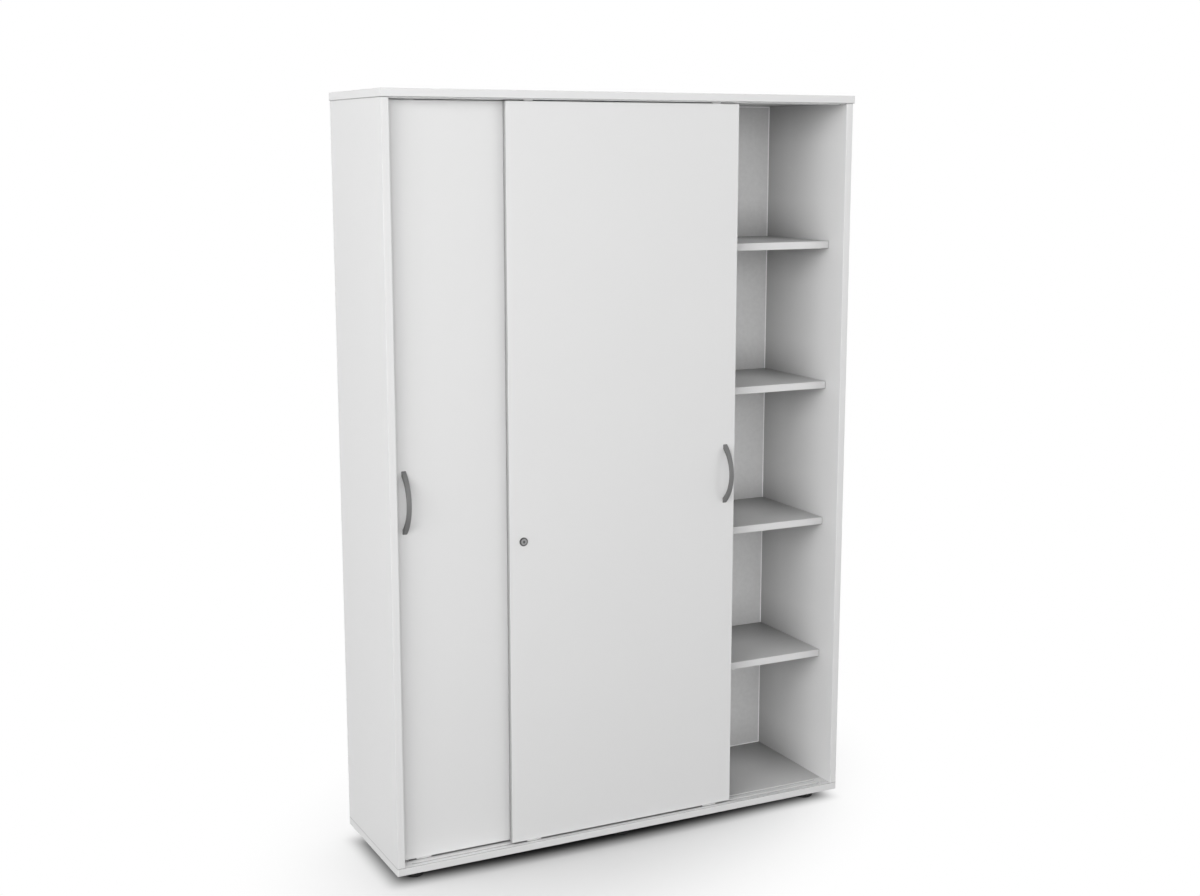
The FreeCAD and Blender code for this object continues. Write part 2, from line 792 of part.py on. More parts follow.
def make_lock():
    """Cam lock in the front door; returns the door's holes for it."""
    head = rod("lock_head", "lock_head_radius", "lock_head_height - lock_head_chamfer",
               ("lock_x", "lock_front + lock_head_chamfer", "lock_z"), "Y")
    rim = cone("lock_rim", "lock_head_radius - lock_head_chamfer", "lock_head_radius",
               "lock_head_chamfer", ("lock_x", "lock_front", "lock_z"), "Y")
    barrel = rod("lock_barrel", "lock_body_radius", "lock_back - lock_front",
                 ("lock_x", "lock_front", "lock_z"), "Y")
    recess = rod("lock_recess", "plug_head_radius + plug_clearance",
                 "plug_head_height + plug_end_gap", ("lock_x", "lock_front", "lock_z"), "Y")
    bore = rod("lock_bore", "plug_radius + plug_clearance", "lock_back - lock_front",
               ("lock_x", "lock_front", "lock_z"), "Y")
    node("lock_housing",
         cut("lock_housing", fuse("lock_shell", [head, rim, barrel]), [recess, bore]))

    disc = rod("lock_nut_disc", "lock_nut_radius", "lock_nut_height",
               ("lock_x", "lock_back - lock_nut_height", "lock_z"), "Y")
    nut_hole = rod("lock_nut_hole", "lock_body_radius", "lock_nut_height",
                   ("lock_x", "lock_back - lock_nut_height", "lock_z"), "Y")
    flats = block("lock_nut_flat_faces", ("2 * lock_nut_radius", "lock_nut_height",
                                          "lock_nut_flats"),
                  ("lock_x - lock_nut_radius", "lock_back - lock_nut_height",
                   "lock_z - lock_nut_flats / 2"))
    node("lock_nut", cut("lock_nut", common("lock_nut_blank", [disc, flats]), [nut_hole]))

    plug_head = rod("plug_head", "plug_head_radius", "plug_head_height",
                    ("lock_x", "lock_front", "lock_z"), "Y")
    shaft = rod("plug_shaft", "plug_radius", "cam_front - lock_front",
                ("lock_x", "lock_front", "lock_z"), "Y")
    stub = block("plug_stub_block", ("plug_stub", "cam_thickness", "plug_stub"),
                 ("lock_x - plug_stub / 2", "cam_front", "lock_z - plug_stub / 2"))
    keyway = block("keyway", ("keyway_width", "keyway_depth", "keyway_height"),
                   ("lock_x - keyway_width / 2", "lock_front", "lock_z - keyway_height / 2"))
    thread = rod("plug_thread", "cam_screw_radius", "cam_screw_length",
                 ("lock_x", "cam_back - cam_screw_length", "lock_z"), "Y")
    node("lock_plug", cut("lock_plug", fuse("plug_body", [plug_head, shaft, stub]),
                          [keyway, thread]))

    reach = "(cam_reach - cam_width / 2)"
    arm = block("cam_arm", (reach, "cam_thickness", "cam_width"),
                ("lock_x", "cam_front", "lock_z - cam_width / 2"))
    tip = rod("cam_tip", "cam_width / 2", "cam_thickness",
              (f"lock_x + {reach}", "cam_front", "lock_z"), "Y")
    hub = rod("cam_hub", "lock_body_radius", "cam_thickness",
              ("lock_x", "cam_front", "lock_z"), "Y")
    square = block("cam_square", ("plug_stub", "cam_thickness", "plug_stub"),
                   ("lock_x - plug_stub / 2", "cam_front", "lock_z - plug_stub / 2"))
    node("lock_cam", cut("lock_cam", fuse("cam_plate", [arm, tip, hub]), [square]))

    screw_head = rod("cam_screw_head", "cam_screw_head_radius", "cam_screw_head_height",
                     ("lock_x", "cam_back", "lock_z"), "Y")
    screw_shank = rod("cam_screw_shank", "cam_screw_radius",
                      "cam_screw_length + cam_screw_head_height / 2",
                      ("lock_x", "cam_back - cam_screw_length", "lock_z"), "Y")
    node("lock_cam_screw", fuse("lock_cam_screw", [screw_head, screw_shank]))

    return [
        rod("lock_door_hole", "lock_body_radius + hole_clearance", "door_board",
            ("lock_x", "front_face", "lock_z"), "Y"),
        rod("lock_nut_recess", "lock_nut_radius + hole_clearance", "lock_nut_height",
            ("lock_x", "lock_back - lock_nut_height", "lock_z"), "Y"),
    ]


def make_keeper():
    """Angled keeper on the rear door that the turned cam meets; returns the door's holes."""
    height = "keeper_height"
    plate = block("keeper_base", ("keeper_length", "keeper_plate", height),
                  ("keeper_right - keeper_length", "rear_face - keeper_plate",
                   "keeper_bottom"))
    lug = block("keeper_upstand", ("keeper_lug", "keeper_reach", height),
                ("keeper_right - keeper_lug", "rear_face - keeper_reach", "keeper_bottom"))
    screws = []
    sinks = []
    pilots = []
    for end, x in (("left", "keeper_right - keeper_length + keeper_screw_inset"),
                   ("right", "keeper_right - keeper_lug - keeper_screw_inset")):
        z = "keeper_bottom + keeper_height / 2"
        head_start = (x, "rear_face - keeper_plate", z)
        head = cone(f"keeper_{end}_head", "keeper_screw_head_radius", "keeper_screw_radius",
                    "keeper_plate", head_start, "Y")
        shank = rod(f"keeper_{end}_shank", "keeper_screw_radius", "keeper_screw_length",
                    head_start, "Y")
        screws.append(fuse(f"keeper_{end}_screw", [head, shank]))
        sinks.append(cone(f"keeper_{end}_sink", "keeper_screw_head_radius",
                          "keeper_screw_radius", "keeper_plate", head_start, "Y"))
        pilots.append(rod(f"keeper_{end}_pilot", "keeper_screw_radius",
                          "keeper_screw_length - keeper_plate", (x, "rear_face", z), "Y"))
    node("lock_keeper", cut("lock_keeper", fuse("keeper_angle", [plate, lug]), sinks))
    node("keeper_screws", group("keeper_screws", screws))
    return pilots


# ---------------------------------------------------------------- build, check, export

def check(item):
    """Stop unless the object recomputed and its shape is whole."""
    bad = {"Invalid", "Error"} & set(item.State)
    if bad:
        raise RuntimeError(f"{item.Label}: {sorted(bad)}")


def export():
    os.makedirs("parts", exist_ok=True)
    for item in doc.Objects:
        check(item)
    for name, item in NODES.items():
        shape = item.Shape
        if shape.isNull() or not shape.isValid() or not shape.Solids:
            raise RuntimeError(name + ": no valid solid")
    for name, item in NODES.items():
        item.Shape.exportStep(f"parts/{name}.step")
        print(f"{name}: {len(item.Shape.Solids)} solids, {item.Shape.Volume / 1000:.2f} cm3")


make_slabs()
make_uprights()
make_dowels()
make_shelves()
make_back()
make_feet()
make_track("bottom_track", "floor_top - track_depth", "groove_floor")
make_track("top_track", "roof", "roof")
make_end_plugs()
make_door(FRONT_DOOR, make_lock())
make_door(REAR_DOOR, make_keeper())
doc.recompute()
export()
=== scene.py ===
"""Looks of a sliding door cabinet: camera, studio light, materials and small fittings."""
import json
from math import atan2, cos, hypot, pi, radians, sin

import bmesh
import bpy
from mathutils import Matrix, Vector


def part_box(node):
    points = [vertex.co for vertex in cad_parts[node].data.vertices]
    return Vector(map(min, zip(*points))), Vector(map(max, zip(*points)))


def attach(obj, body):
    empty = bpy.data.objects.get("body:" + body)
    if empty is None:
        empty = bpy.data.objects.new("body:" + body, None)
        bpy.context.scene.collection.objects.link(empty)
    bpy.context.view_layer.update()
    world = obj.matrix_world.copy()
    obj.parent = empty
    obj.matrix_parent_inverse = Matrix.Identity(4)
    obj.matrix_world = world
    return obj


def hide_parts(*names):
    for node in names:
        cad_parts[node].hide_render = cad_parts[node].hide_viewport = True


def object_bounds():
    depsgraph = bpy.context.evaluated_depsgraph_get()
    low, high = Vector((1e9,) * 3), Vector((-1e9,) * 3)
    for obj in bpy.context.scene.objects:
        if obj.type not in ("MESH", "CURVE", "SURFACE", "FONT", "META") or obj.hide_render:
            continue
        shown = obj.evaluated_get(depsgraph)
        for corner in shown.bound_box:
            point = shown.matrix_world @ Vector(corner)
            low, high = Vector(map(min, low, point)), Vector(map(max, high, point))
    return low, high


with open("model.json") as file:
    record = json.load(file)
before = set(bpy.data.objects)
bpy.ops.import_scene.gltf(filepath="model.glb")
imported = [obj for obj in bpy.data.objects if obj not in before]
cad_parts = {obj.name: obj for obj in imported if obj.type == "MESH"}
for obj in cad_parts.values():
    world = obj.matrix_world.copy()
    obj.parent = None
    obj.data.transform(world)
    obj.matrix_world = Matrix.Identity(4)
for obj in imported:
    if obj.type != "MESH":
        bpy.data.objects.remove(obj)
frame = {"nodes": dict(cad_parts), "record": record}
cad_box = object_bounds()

MM = 0.001
NODES = frame["nodes"]
BODY_OF = {node: body for body, nodes in frame["record"]["behaviour"]["bodies"].items()
           for node in nodes}
SLOT_OF = {node: obj.material_slots[0].material.name for node, obj in NODES.items()}

# ---------------------------------------------------------------- camera

CAMERA_PLACE = (-1.7934, -3.5658, 1.6600)
CAMERA_TARGET = (0.0023, 0.0108, 0.9470)
CAMERA_LENS = 50.08
SENSOR = 36.0


def aim(obj, target):
    """Turns obj so that its own -Z looks at target, with its X level."""
    way = Vector(target) - obj.location
    obj.rotation_euler = way.to_track_quat("-Z", "Y").to_euler()


def add_object(name, data):
    """A new object of data, linked to the scene."""
    obj = bpy.data.objects.new(name, data)
    bpy.context.scene.collection.objects.link(obj)
    return obj


def make_camera():
    """The camera at the viewing angle, made the scene's own."""
    lens = bpy.data.cameras.new("camera")
    lens.sensor_width = SENSOR
    lens.lens = CAMERA_LENS
    lens.clip_end = 60.0
    camera = add_object("camera", lens)
    camera.location = CAMERA_PLACE
    aim(camera, CAMERA_TARGET)
    bpy.context.scene.camera = camera


# ---------------------------------------------------------------- light

# name: (place, aimed at, (width, height), watts), lengths in metres
LAMPS = {
    "left": ((-3.9, -2.2, 2.4), (0.0, 0.0, 0.9), (2.0, 2.4), 53.0),
    "low_front": ((-1.4, -4.2, 0.7), (0.0, 0.0, 1.0), (3.4, 1.2), 38.0),
    "high_left": ((-2.6, -3.4, 2.8), (0.0, 0.0, 1.2), (2.4, 2.4), 49.0),
    "high_right": ((2.6, -3.6, 2.8), (0.0, 0.0, 1.2), (2.4, 2.4), 34.0),
}
# the lamp that shows in reflections: the others would leave glare on the top
SEEN_LAMP = "low_front"
# the world's light: a band round the horizon, a glow on the left and one behind on the
# right. A reach is where the glow starts and where it is full, along its way.
HORIZON_LEVEL = 1.63
HORIZON_TOP = 0.55
LEFT_LEVEL = 0.68
LEFT_REACH = (0.2, -1.0)
REAR_LEVEL = 1.7
REAR_REACH = (0.25, 1.1)
REAR_WAY = (0.70, 0.70, 0.35)


def make_lamps():
    """Soft boxes round the object."""
    for name, (place, target, size, watts) in LAMPS.items():
        lamp = bpy.data.lights.new(name, "AREA")
        lamp.shape = "RECTANGLE"
        lamp.size, lamp.size_y = size
        lamp.energy = watts
        obj = add_object(name, lamp)
        obj.location = place
        obj.visible_glossy = name == SEEN_LAMP
        aim(obj, target)


def make_world():
    """White to the camera and in reflections. As a light, soft glows round the horizon."""
    world = bpy.data.worlds.new("studio")
    world.use_nodes = True
    bpy.context.scene.world = world
    net = Net(world.node_tree)
    way = net.tree.nodes.new("ShaderNodeTexCoord").outputs["Generated"]
    band = net.math("MULTIPLY", net.step(net.axis(way, "Z"), HORIZON_TOP, 0.0), HORIZON_LEVEL)
    side = net.math("MULTIPLY", net.step(net.axis(way, "X"), *LEFT_REACH), LEFT_LEVEL)
    toward = net.add("VectorMath", enumerate((way, REAR_WAY)), output="Value",
                     operation="DOT_PRODUCT")
    rear = net.math("MULTIPLY", net.step(toward, *REAR_REACH), REAR_LEVEL)
    seen = net.seen_ray()
    total = net.math("ADD", net.math("ADD", band, side), rear)
    light = net.math("MULTIPLY", total, net.math("SUBTRACT", 1.0, seen))
    back = net.tree.nodes["Background"].inputs
    back["Color"].default_value = (1.0, 1.0, 1.0, 1.0)
    net.feed(back["Strength"], net.math("ADD", light, seen))


# ---------------------------------------------------------------- node trees

class Net:
    """Short calls that add nodes to a node tree."""

    def __init__(self, tree):
        self.tree = tree

    def feed(self, socket, value):
        """Links value to socket, or sets it there if it is plain."""
        if isinstance(value, bpy.types.NodeSocket):
            self.tree.links.new(value, socket)
        else:
            socket.default_value = value

    def add(self, kind, inputs=(), output=0, **settings):
        """A node of that kind. inputs maps socket names or numbers to values."""
        node = self.tree.nodes.new("ShaderNode" + kind)
        for key, value in settings.items():
            setattr(node, key, value)
        for key, value in dict(inputs).items():
            self.feed(node.inputs[key], value)
        return node.outputs[output]

    def math(self, operation, *values, clamp=False):
        """A Math node's result."""
        return self.add("Math", enumerate(values), operation=operation, use_clamp=clamp)

    def spread(self, value, low, high):
        """value from 0 to 1 turned into low to high."""
        return self.add("MapRange", {"Value": value, "To Min": low, "To Max": high},
                        clamp=False)

    def step(self, value, start, end):
        """0 before start, 1 after end and smooth between. start may be the larger."""
        return self.add("MapRange", {"Value": value, "From Min": start, "From Max": end},
                        interpolation_type="SMOOTHSTEP")

    def axis(self, vector, name):
        """One part of a vector."""
        return self.add("SeparateXYZ", {"Vector": vector}, output="XYZ".index(name))

    def seen_ray(self):
        """1 for camera, glossy and transmission rays, 0 for the others."""
        path = self.tree.nodes.new("ShaderNodeLightPath").outputs
        total = self.math("ADD", path["Is Camera Ray"], path["Is Glossy Ray"])
        return self.math("ADD", total, path["Is Transmission Ray"], clamp=True)


class Look(Net):
    """A material: a Principled shader, fed by textures in object space."""

    def __init__(self, name, roughness=0.5, metallic=0.0, specular=0.5):
        self.material = bpy.data.materials.new(name)
        self.material.use_nodes = True
        super().__init__(self.material.node_tree)
        self.shader = self.tree.nodes["Principled BSDF"]
        self.shader.inputs["Roughness"].default_value = roughness
        self.shader.inputs["Metallic"].default_value = metallic
        self.shader.inputs["Specular IOR Level"].default_value = specular
        where = self.tree.nodes.new("ShaderNodeTexCoord").outputs
        self.place, self.facing = where["Object"], where["Normal"]
        self.relief = None

    def noise(self, size, detail=2.0, stretch=(1.0, 1.0, 1.0), shift=0.0):
        """Noise from 0 to 1 with features of that size in metres, longer where stretch is."""
        factors = tuple(1.0 / (size * part) for part in stretch)
        place = self.add("VectorMath", enumerate((self.place, factors, (shift,) * 3)),
                         operation="MULTIPLY_ADD")
        return self.add("TexNoise", {"Vector": place, "Scale": 1.0, "Detail": detail},
                        output="Fac")

    def paint(self, colour, *shades):
        """The base colour, multiplied by each shade."""
        total = None
        for shade in shades:
            total = shade if total is None else self.math("MULTIPLY", total, shade)
        if total is None:
            self.feed(self.shader.inputs["Base Color"], (*colour, 1.0))
            return
        tint = self.add("VectorMath", {0: colour, "Scale": total}, operation="SCALE")
        self.feed(self.shader.inputs["Base Color"], tint)

    def room(self, box, names):
        """Distance in metres to the nearest side of a box, along those axes. Positive inside."""
        nearest = None
        for name in names:
            along, number = self.axis(self.place, name), "XYZ".index(name)
            for gap in (self.math("SUBTRACT", along, box[0][number]),
                        self.math("SUBTRACT", box[1][number], along)):
                nearest = gap if nearest is None else self.math("MINIMUM", nearest, gap)
        return nearest

    def within(self, box):
        """1 on the faces inside the box and on its sides, 0 elsewhere."""
        return self.math("GREATER_THAN", self.room(box, "XYZ"), -SKIN)

    def openness(self, reach):
        """1 where nothing stands within reach, down to 0 where it is shut in."""
        return self.add("AmbientOcclusion", {"Distance": reach}, output="AO", samples=16)

    def painted_corner_shade(self, box, reach, deepest, kept=1.0):
        """Painted shade: 1 in the open, down to deepest in the inner corners of the box.

        reach is how far off the corners start to show. The painted shade fades toward the front,
        and nothing is darker where kept is 0.
        """
        closed = self.math("SUBTRACT", 1.0, self.openness(reach))
        shaded = self.math("MULTIPLY", self.math("MULTIPLY", closed, self.within(box)), kept)
        deep = self.step(self.axis(self.place, "Y"), *FADE)
        part = self.math("MULTIPLY", shaded, self.spread(deep, FRONT_PART, 1.0))
        return self.spread(part, 1.0, deepest)

    def rough(self, value):
        """The roughness."""
        self.feed(self.shader.inputs["Roughness"], value)

    def rounded(self, radius):
        """Makes sharp edges shade as if they were rounded."""
        self.relief = self.add("Bevel", {"Radius": radius}, samples=8)

    def bump(self, height, depth):
        """Adds relief: height from 0 to 1, depth in metres."""
        inputs = {"Height": height, "Distance": depth}
        if self.relief is not None:
            inputs["Normal"] = self.relief
        self.relief = self.add("Bump", inputs)
        self.feed(self.shader.inputs["Normal"], self.relief)


# ---------------------------------------------------------------- materials

BOARD_WHITE = (0.70, 0.70, 0.70)
BACK_WHITE = (0.86, 0.86, 0.86)
TRACK_WHITE = (0.80, 0.80, 0.80)
WHITE_PLASTIC = (0.76, 0.76, 0.76)
ROLLER_WHITE = (0.68, 0.68, 0.67)
FOOT_BLACK = (0.022, 0.022, 0.022)
HANDLE_GREY = (0.165, 0.165, 0.165)
ZINC_GREY = (0.56, 0.56, 0.56)
BEECH_BROWN = (0.50, 0.30, 0.14)
# the lock's parts: their grey, and the radius of the painted shade of a dish in the plug's face
# the housing's grey is darker than the plug's, as painted shade of its ring
HOUSING_TONE = 0.10
PLUG_TONE = 0.30
PLUG_DISH = 3.2 * MM
# edge tape: its thickness, and the half width and shade of the seam beside it
TAPE = 1.0 * MM
SEAM = 0.12 * MM
SEAM_SHADE = 0.72
# painted shade on the rims that butt against another board
JOINT = 0.9 * MM
JOINT_SHADE = 0.62
# radius of the sharp edges in the shading
EDGE = 0.7 * MM
# (reach, deepest painted shade) of the inner corners
WALL_CORNERS = (100.0 * MM, 0.45)
BACK_CORNERS = (100.0 * MM, 0.62)
SHELF_CORNERS = (150.0 * MM, 0.12)
# that painted shade is full from the second y on backwards, and fades to this part at the first
FADE = (-150.0 * MM, 80.0 * MM)
FRONT_PART = 0.40
# how far outside a box a face still counts as inside
SKIN = 0.4 * MM
# painted light: the inner walls grow lighter from the first y to the second
WALL_FRONT = (140.0 * MM, -140.0 * MM)
WALL_LIGHT = 1.15
# painted shade on the doors' upright rims, from their front to their back
RIM_FADE = (0.5, 1.0)
DOOR_RIM_SHADE = 0.32
# the painted shadow of a door on the carriers under it
DOOR_SHADOW = 2.2 * MM
DOOR_SHADE = 0.15
# painted shade in the tracks' slots: how far off they start to show, how open they are at their
# deepest and shallowest, and the deepest painted shade on the top track's lips and bottom track
SLOT_REACH = 20.0 * MM
SLOT_OPEN = (0.05, 0.55)
SLOT_SHADE = 0.03
TRACK_SHADE = 0.30
# a painted highlight round the edges of the back's inner face
PAINTED_HIGHLIGHT_WIDTH = 3.0 * MM
PAINTED_HIGHLIGHT_GAIN = 1.15


def tape_seams(look, box, thick, taped):
    """A shade for each fine line where edge tape meets the wide faces."""
    facing = look.math("ABSOLUTE", look.axis(look.facing, thick))
    wide_face = look.step(facing, 0.9, 0.98)
    shades = []
    for axis, sides in taped.items():
        along = look.axis(look.place, axis)
        low, high = (corner["XYZ".index(axis)] for corner in box)
        for side in sides:
            line = low + TAPE if side < 0 else high - TAPE
            off = look.math("ABSOLUTE", look.math("SUBTRACT", along, line))
            seam = look.math("MULTIPLY", look.step(off, SEAM, 0.0), wide_face)
            shades.append(look.spread(seam, 1.0, SEAM_SHADE))
    return shades


def painted_joint_shade(look, box, butts):
    """A painted shade for each of the height's sides that meets another board."""
    height, rising = look.axis(look.place, "Z"), look.axis(look.facing, "Z")
    upright = look.math("LESS_THAN", look.math("ABSOLUTE", rising), 0.95)
    shades = []
    for side in butts:
        near = (look.math("SUBTRACT", box[1].z, height) if side > 0
                else look.math("SUBTRACT", height, box[0].z))
        rim = look.math("MULTIPLY", look.math("LESS_THAN", near, JOINT), upright)
        shades.append(look.spread(rim, 1.0, JOINT_SHADE))
    return shades


def painted_wall_light(look, inner):
    """The inner walls' painted light, growing toward the front."""
    ahead = look.step(look.axis(look.place, "Y"), *WALL_FRONT)
    lit = look.math("MULTIPLY", look.within(inner), ahead)
    return look.spread(lit, 1.0, WALL_LIGHT)


def painted_rim_shade(look, box):
    """Painted shade on the doors' upright rims, darker toward their back."""
    upright = look.math("ABSOLUTE", look.axis(look.facing, "X"))
    deep = look.step(look.axis(look.place, "Y"), box[0].y, box[1].y)
    rim = look.math("MULTIPLY", look.step(upright, 0.5, 0.9), look.spread(deep, *RIM_FADE))
    return look.spread(rim, 1.0, DOOR_RIM_SHADE)


def board_look(name, box, thick, taped, butts, inner, corners):
    """Melamine board: faint pearl relief, and tape seams beside the taped sides.

    thick is the axis across the board, taped maps axis names to the sides that have
    edge tape: -1, 1 or both. butts lists the height's sides that meet another board,
    whose rims get painted shade. inner is the box of the room inside the carcass for a board
    of the carcass, and None for a door. corners is its inner corners' (reach, painted shade).
    A door gets painted shade on its upright rims, an inner wall painted light toward the front.
    """
    look = Look(name, roughness=0.42, specular=0.4)
    shades = [look.spread(look.noise(0.22, detail=1.0), 0.992, 1.008),
              *tape_seams(look, box, thick, taped), *painted_joint_shade(look, box, butts)]
    if not inner:
        shades.append(painted_rim_shade(look, box))
    else:
        shades.append(look.painted_corner_shade(inner, *corners))
        if thick == "X":
            shades.append(painted_wall_light(look, inner))
    look.paint(BOARD_WHITE, *shades)
    look.rough(look.spread(look.noise(0.003), 0.38, 0.46))
    look.rounded(EDGE)
    look.bump(look.noise(0.0022, detail=3.0), 0.00002)
    look.bump(look.noise(0.03, detail=1.0), 0.00002)
    return look.material


def back_look(inner):
    """Lacquered fibreboard: fine mottle, painted corner shade, painted highlight round its inner
    face.

    inner is the lowest and highest corner of the room inside the carcass.
    """
    look = Look("back_board", roughness=0.5, specular=0.35)
    mottle = look.spread(look.noise(0.011, detail=3.0), 0.93, 1.07)
    cloud = look.spread(look.noise(0.12, detail=1.0), 0.98, 1.02)
    ahead = look.step(look.axis(look.facing, "Y"), -0.5, -0.9)
    near = look.math("LESS_THAN", look.room(inner, "XZ"), PAINTED_HIGHLIGHT_WIDTH)
    painted_highlight = look.math("MULTIPLY", near, ahead)
    look.paint(BACK_WHITE, mottle, cloud, look.spread(painted_highlight, 1.0, PAINTED_HIGHLIGHT_GAIN),
               look.painted_corner_shade(inner, *BACK_CORNERS, kept=look.math("SUBTRACT", 1.0, painted_highlight)))
    look.rough(look.spread(look.noise(0.004), 0.44, 0.58))
    look.bump(look.noise(0.0035, detail=3.0), 0.00006)
    return look.material


def track_look(name, slots):
    """Extruded white plastic with faint lines along X, and painted shade down to slots in its
    slots.
    """
    look = Look(name, roughness=0.36)
    lines = look.noise(0.0012, stretch=(400.0, 1.0, 1.0))
    shades = [look.spread(lines, 0.97, 1.03), look.spread(look.noise(0.05), 0.99, 1.01)]
    if slots < 1.0:
        clear = look.step(look.openness(SLOT_REACH), *SLOT_OPEN)
        shades.append(look.spread(clear, slots, 1.0))
    look.paint(TRACK_WHITE, *shades)
    look.rough(look.spread(lines, 0.30, 0.42))
    look.bump(lines, 0.00003)
    return look.material


def moulded_look(name, colour, roughness, grain, depth, specular=0.5, under=None):
    """Moulded plastic with a fine grain, in painted shadow just below the height under."""
    look = Look(name, roughness=roughness, specular=specular)
    shades = [look.spread(look.noise(0.02), 0.98, 1.02),
              look.spread(look.noise(grain * 2.0), 0.985, 1.015)]
    if under:
        near = look.step(look.axis(look.place, "Z"), under - DOOR_SHADOW, under)
        shades.append(look.spread(near, 1.0, DOOR_SHADE))
    look.paint(colour, *shades)
    look.rough(look.spread(look.noise(grain * 3.0), roughness - 0.06, roughness + 0.06))
    look.bump(look.noise(grain, detail=3.0), depth)
    return look.material


def handle_look():
    """Dark grey satin metal, finely brushed along Z."""
    look = Look("handle_metal", roughness=0.42, metallic=0.35, specular=0.5)
    brush = look.noise(0.0007, detail=2.0, stretch=(1.0, 1.0, 60.0))
    look.paint(HANDLE_GREY, look.spread(brush, 0.93, 1.07),
               look.spread(look.noise(0.018), 0.97, 1.03))
    look.rough(look.spread(brush, 0.36, 0.50))
    look.bump(brush, 0.00001)
    return look.material


def lock_look(name, centre, front, tone, dish):
    """Dull nickel, brushed in rings round the lock's axis, which runs along Y.

    front is the y of the part's face, behind which its slots are painted black as shade. Inside
    the radius dish the face is painted darker, as the shade of a hollow.
    """
    look = Look(name, roughness=0.38, metallic=0.6)
    along = look.math("SUBTRACT", look.axis(look.place, "X"), centre[0])
    above = look.math("SUBTRACT", look.axis(look.place, "Z"), centre[2])
    squares = look.math("ADD", look.math("MULTIPLY", along, along),
                        look.math("MULTIPLY", above, above))
    radius = look.math("SQRT", squares)
    rings = look.add("TexNoise", {"W": look.math("MULTIPLY", radius, 4000.0), "Scale": 1.0,
                                  "Detail": 2.0}, output="Fac", noise_dimensions="1D")
    sunk_shade = look.step(look.math("SUBTRACT", look.axis(look.place, "Y"), front), 0.2 * MM,
                     0.9 * MM)
    dish_shade = look.step(radius, dish + 0.4 * MM, dish - 0.4 * MM)
    look.paint((tone, tone, tone), look.spread(rings, 0.88, 1.12),
               look.spread(look.noise(0.006), 0.95, 1.05), look.spread(sunk_shade, 1.0, 0.08),
               look.spread(dish_shade, 1.0, 0.45))
    look.rough(look.spread(rings, 0.30, 0.46))
    look.bump(rings, 0.00001)
    return look.material


def zinc_look():
    """Zinc plate with its faint crystal mottle."""
    look = Look("zinc_steel", roughness=0.34, metallic=0.9)
    look.paint(ZINC_GREY, look.spread(look.noise(0.0016, detail=3.0), 0.88, 1.12))
    look.rough(look.spread(look.noise(0.003), 0.26, 0.44))
    look.bump(look.noise(0.0008, detail=2.0), 0.00001)
    return look.material


def beech_look():
    """Beech with its grain along each dowel."""
    look = Look("dowel_wood", roughness=0.6)
    grain = look.noise(0.0012, detail=4.0, stretch=(1.0, 1.0, 14.0))
    look.paint(BEECH_BROWN, look.spread(grain, 0.78, 1.2),
               look.spread(look.noise(0.02), 0.92, 1.08))
    look.bump(grain, 0.00006)
    return look.material


ALL_ROUND = (-1, 1)
PANEL_TAPE = {"X": ALL_ROUND, "Y": ALL_ROUND}
UPRIGHT_TAPE = {"Y": (-1,)}
DOOR_TAPE = {"X": ALL_ROUND, "Z": ALL_ROUND}
# node: board_look's thick, taped and butts
BOARDS = {
    "top_panel": ("Z", PANEL_TAPE, (-1,)),
    "bottom_panel": ("Z", PANEL_TAPE, (1,)),
    "left_side_panel": ("X", UPRIGHT_TAPE, ALL_ROUND),
    "right_side_panel": ("X", UPRIGHT_TAPE, ALL_ROUND),
    "centre_divider": ("X", UPRIGHT_TAPE, ALL_ROUND),
    "front_door_panel": ("Y", DOOR_TAPE, ()),
    "rear_door_panel": ("Y", DOOR_TAPE, ()),
    **{f"{side}_shelf_{number}": ("Z", UPRIGHT_TAPE, ())
       for side in ("left", "right") for number in (1, 2, 3, 4)},
}


def make_looks():
    """Gives every CAD node its material, and returns them by slot."""
    plug_low, plug_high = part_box("lock_plug")
    lock_centre = (plug_low + plug_high) / 2.0
    house_low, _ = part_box("lock_housing")
    inside = (Vector((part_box("left_side_panel")[1].x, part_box("left_side_panel")[0].y,
                      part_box("bottom_panel")[1].z)),
              Vector((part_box("right_side_panel")[0].x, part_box("back_panel")[0].y,
                      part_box("top_panel")[0].z)))
    looks = {
        "back_board": back_look(inside),
        "track_profile": track_look("track_profile", 1.0),
        "white_plastic": moulded_look("white_plastic", WHITE_PLASTIC, 0.42, 0.0008,
                                      0.00002),
        "roller_plastic": moulded_look("roller_plastic", ROLLER_WHITE, 0.30, 0.0012,
                                       0.00001),
        "handle_metal": handle_look(),
        "lock_metal": lock_look("lock_metal", lock_centre, house_low.y, HOUSING_TONE, 0.0),
        "zinc_steel": zinc_look(),
        "dowel_wood": beech_look(),
        "foot_plastic": moulded_look("foot_plastic", FOOT_BLACK, 0.62, 0.0009,
                                     0.00006, specular=0.2),
    }
    for node, obj in NODES.items():
        # the roller carriers get a painted shadow of the doors on their tops
        if "roller_carrier" in node:
            obj.material_slots[0].material = moulded_look(
                f"{node}_plastic", WHITE_PLASTIC, 0.42, 0.0008, 0.00002,
                under=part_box("front_door_panel")[0].z)
        elif node in BOARDS:
            obj.material_slots[0].material = board_look(
                f"{node}_board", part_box(node), *BOARDS[node],
                inside if BODY_OF[node] == "carcass" else None,
                SHELF_CORNERS if BOARDS[node][0] == "Z" else WALL_CORNERS)
        else:
            obj.material_slots[0].material = looks[SLOT_OF[node]]
    # the bottom track, with painted shade in its slots under the doors
    NODES["bottom_track"].material_slots[0].material = track_look(
        "bottom_track_profile", TRACK_SHADE)
    # the plug: painted shade in its keyway and in a disc round it
    NODES["lock_plug"].material_slots[0].material = lock_look(
        "lock_plug_metal", lock_centre, plug_low.y, PLUG_TONE, PLUG_DISH)
    return looks


# ---------------------------------------------------------------- small fittings

